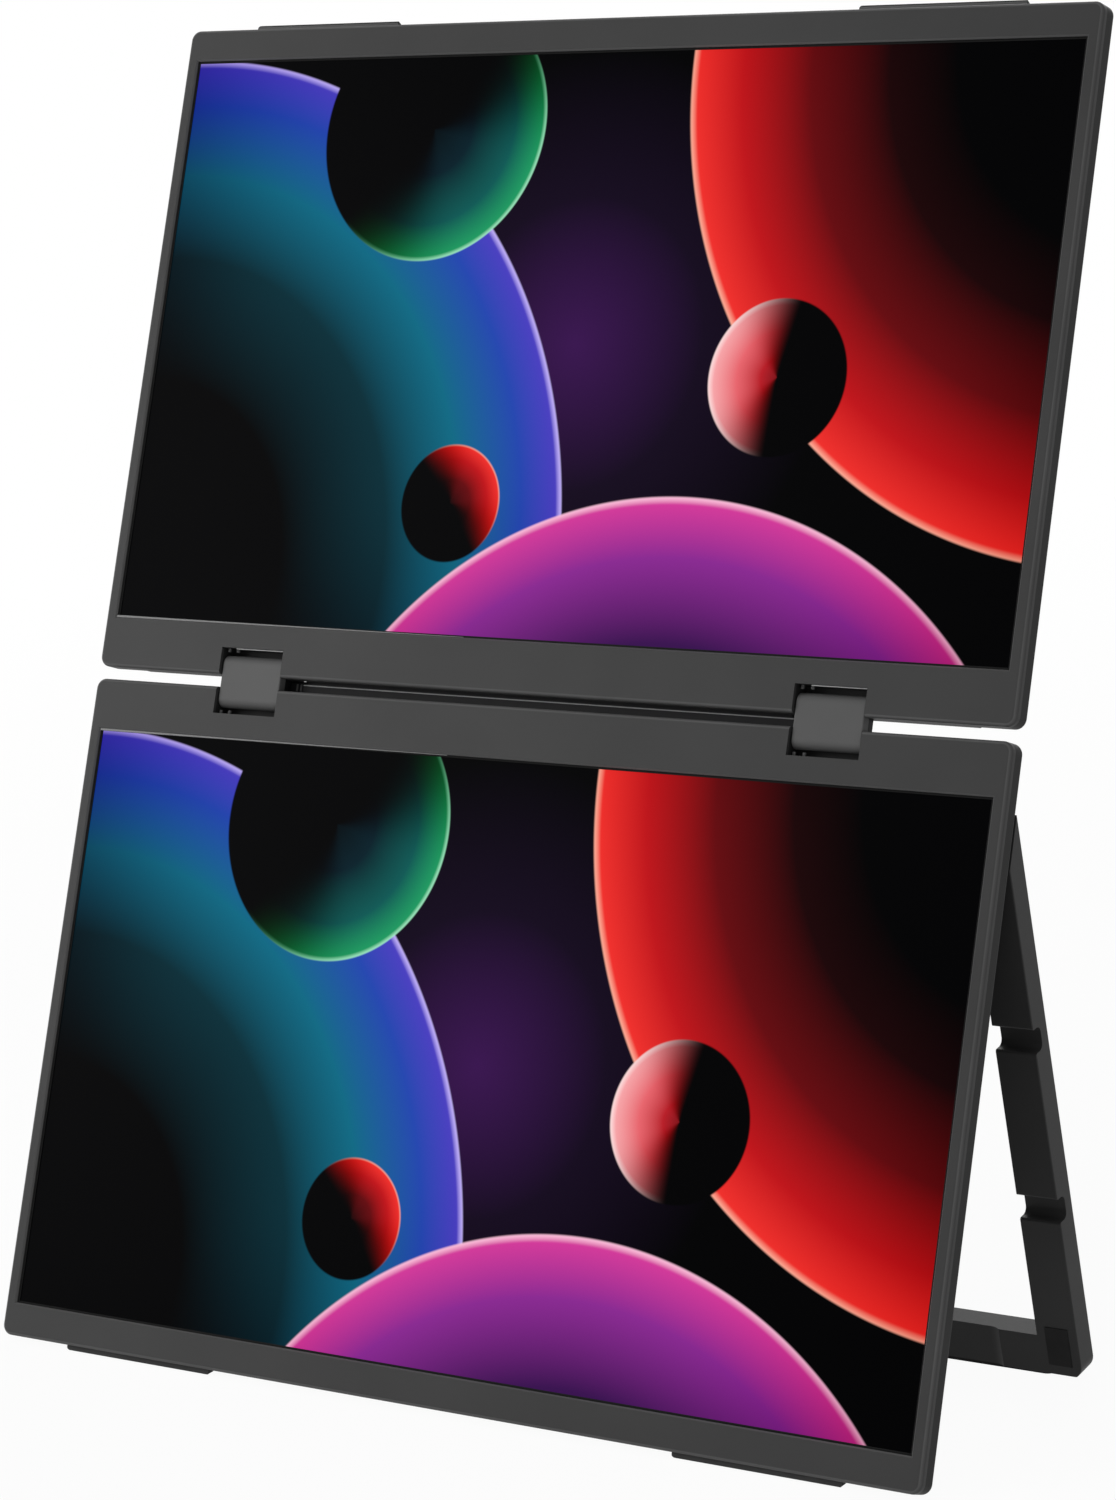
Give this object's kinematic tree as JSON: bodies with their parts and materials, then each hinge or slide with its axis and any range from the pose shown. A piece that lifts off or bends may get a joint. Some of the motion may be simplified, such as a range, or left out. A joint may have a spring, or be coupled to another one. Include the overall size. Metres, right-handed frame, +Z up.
{
  "type": "dual folding portable monitor",
  "caption": "Folding portable monitor with stacked flat screens, two-axis friction hinges between them, rubber feet and a swing-out kickstand frame behind.",
  "frame": {"origin": "bottom centre of the bounds of the standing object", "axes": "+X to the viewer's right, +Y from the screens to the rear, +Z up; displays lean back 23 degrees"},
  "size_m": [0.354, 0.1814, 0.4166],
  "materials": {
    "housing": "fine texture",
    "screen": "smooth",
    "acrylic": "clear, dotted back",
    "tray": "rolled sheet",
    "board": "solder mask",
    "rubber": "matt",
    "steel": "ground",
    "screw_steel": "blackened",
    "link_cover": "fine texture",
    "spine": "matt",
    "cable": "ribbon",
    "port_shell": "drawn",
    "button": "satin",
    "speaker": "matt",
    "stand": "fine texture",
    "bronze": "sintered"
  },
  "bodies": {
    "lower_display": {"lower_bezel": "housing", "lower_rear_cover": "housing", "lower_lcd_cell": "screen", "lower_light_guide": "acrylic", "lower_backlight_tray": "tray", "lower_driver_board": "board", "lower_foot_left": "rubber", "lower_foot_right": "rubber", "lower_hinge_brackets": "steel", "lower_hinge_shafts": "steel", "lower_shaft_nuts": "steel", "lower_hinge_screws": "screw_steel", "lower_case_screws": "screw_steel", "electronics_cover": "housing", "main_board": "board", "usb_c_port_upper": "port_shell", "usb_c_port_lower": "port_shell", "mini_hdmi_port": "port_shell", "audio_jack": "button", "speaker_left": "speaker", "speaker_right": "speaker", "box_screws": "screw_steel", "board_screws": "screw_steel", "stand_bracket_left": "steel", "stand_bracket_right": "steel", "stand_pins": "steel", "stand_washers": "steel", "bracket_screws": "screw_steel"},
    "hinge_link": {"link_cover_front_left": "link_cover", "link_cover_front_right": "link_cover", "link_cover_rear_left": "link_cover", "link_cover_rear_right": "link_cover", "link_plates": "steel", "damper_pins": "steel", "friction_washers": "steel", "spine_bar": "spine", "spine_cable": "cable"},
    "damper_lower": {"damper_gears_lower": "steel"},
    "damper_upper": {"damper_gears_upper": "steel"},
    "upper_display": {"upper_bezel": "housing", "upper_rear_cover": "housing", "upper_lcd_cell": "screen", "upper_light_guide": "acrylic", "upper_backlight_tray": "tray", "upper_driver_board": "board", "upper_foot_left": "rubber", "upper_foot_right": "rubber", "upper_hinge_brackets": "steel", "upper_hinge_shafts": "steel", "upper_shaft_nuts": "steel", "upper_hinge_screws": "screw_steel", "upper_case_screws": "screw_steel"},
    "stand": {"stand_frame": "stand", "stand_sole": "rubber", "stand_pads": "rubber", "stand_bushings": "bronze"},
    "power_button": {"power_button": "button"},
    "plus_button": {"plus_button": "button"},
    "minus_button": {"minus_button": "button"}
  },
  "joints": [
    {"name": "link_fold", "type": "hinge", "parent": "lower_display", "child": "hinge_link", "pos_m": [0, -0.00205, 0.20215], "axis": [1, 0, 0], "range_deg": [0, 90]},
    {"name": "upper_fold", "type": "hinge", "parent": "hinge_link", "child": "upper_display", "pos_m": [0, 0.00248, 0.21283], "axis": [1, 0, 0], "range_deg": [0, 90]},
    {"name": "damper_lower_spin", "type": "hinge", "parent": "hinge_link", "child": "damper_lower", "pos_m": [0, -0.00054, 0.20571], "axis": [1, 0, 0], "range_deg": [0, 90]},
    {"name": "damper_upper_spin", "type": "hinge", "parent": "hinge_link", "child": "damper_upper", "pos_m": [0, 0.00097, 0.20927], "axis": [1, 0, 0], "range_deg": [-90, 0]},
    {"name": "stand_fold", "type": "hinge", "parent": "lower_display", "child": "stand", "pos_m": [0, -0.00729, 0.16831], "axis": [1, 0, 0], "range_deg": [-30, 0]},
    {"name": "power_button_press", "type": "slide", "parent": "lower_display", "child": "power_button", "axis": [1, 0, 0], "range_m": [0, 0.0005], "stiffness_N_per_m": 600, "springref_m": -0.001},
    {"name": "plus_button_press", "type": "slide", "parent": "lower_display", "child": "plus_button", "axis": [1, 0, 0], "range_m": [0, 0.0005], "stiffness_N_per_m": 600, "springref_m": -0.001},
    {"name": "minus_button_press", "type": "slide", "parent": "lower_display", "child": "minus_button", "axis": [1, 0, 0], "range_m": [0, 0.0005], "stiffness_N_per_m": 600, "springref_m": -0.001}
  ],
  "couplings": [
    {"joint": "damper_lower_spin", "follows": "link_fold", "ratio": 1},
    {"joint": "damper_upper_spin", "follows": "upper_fold", "ratio": -1}
  ]
}
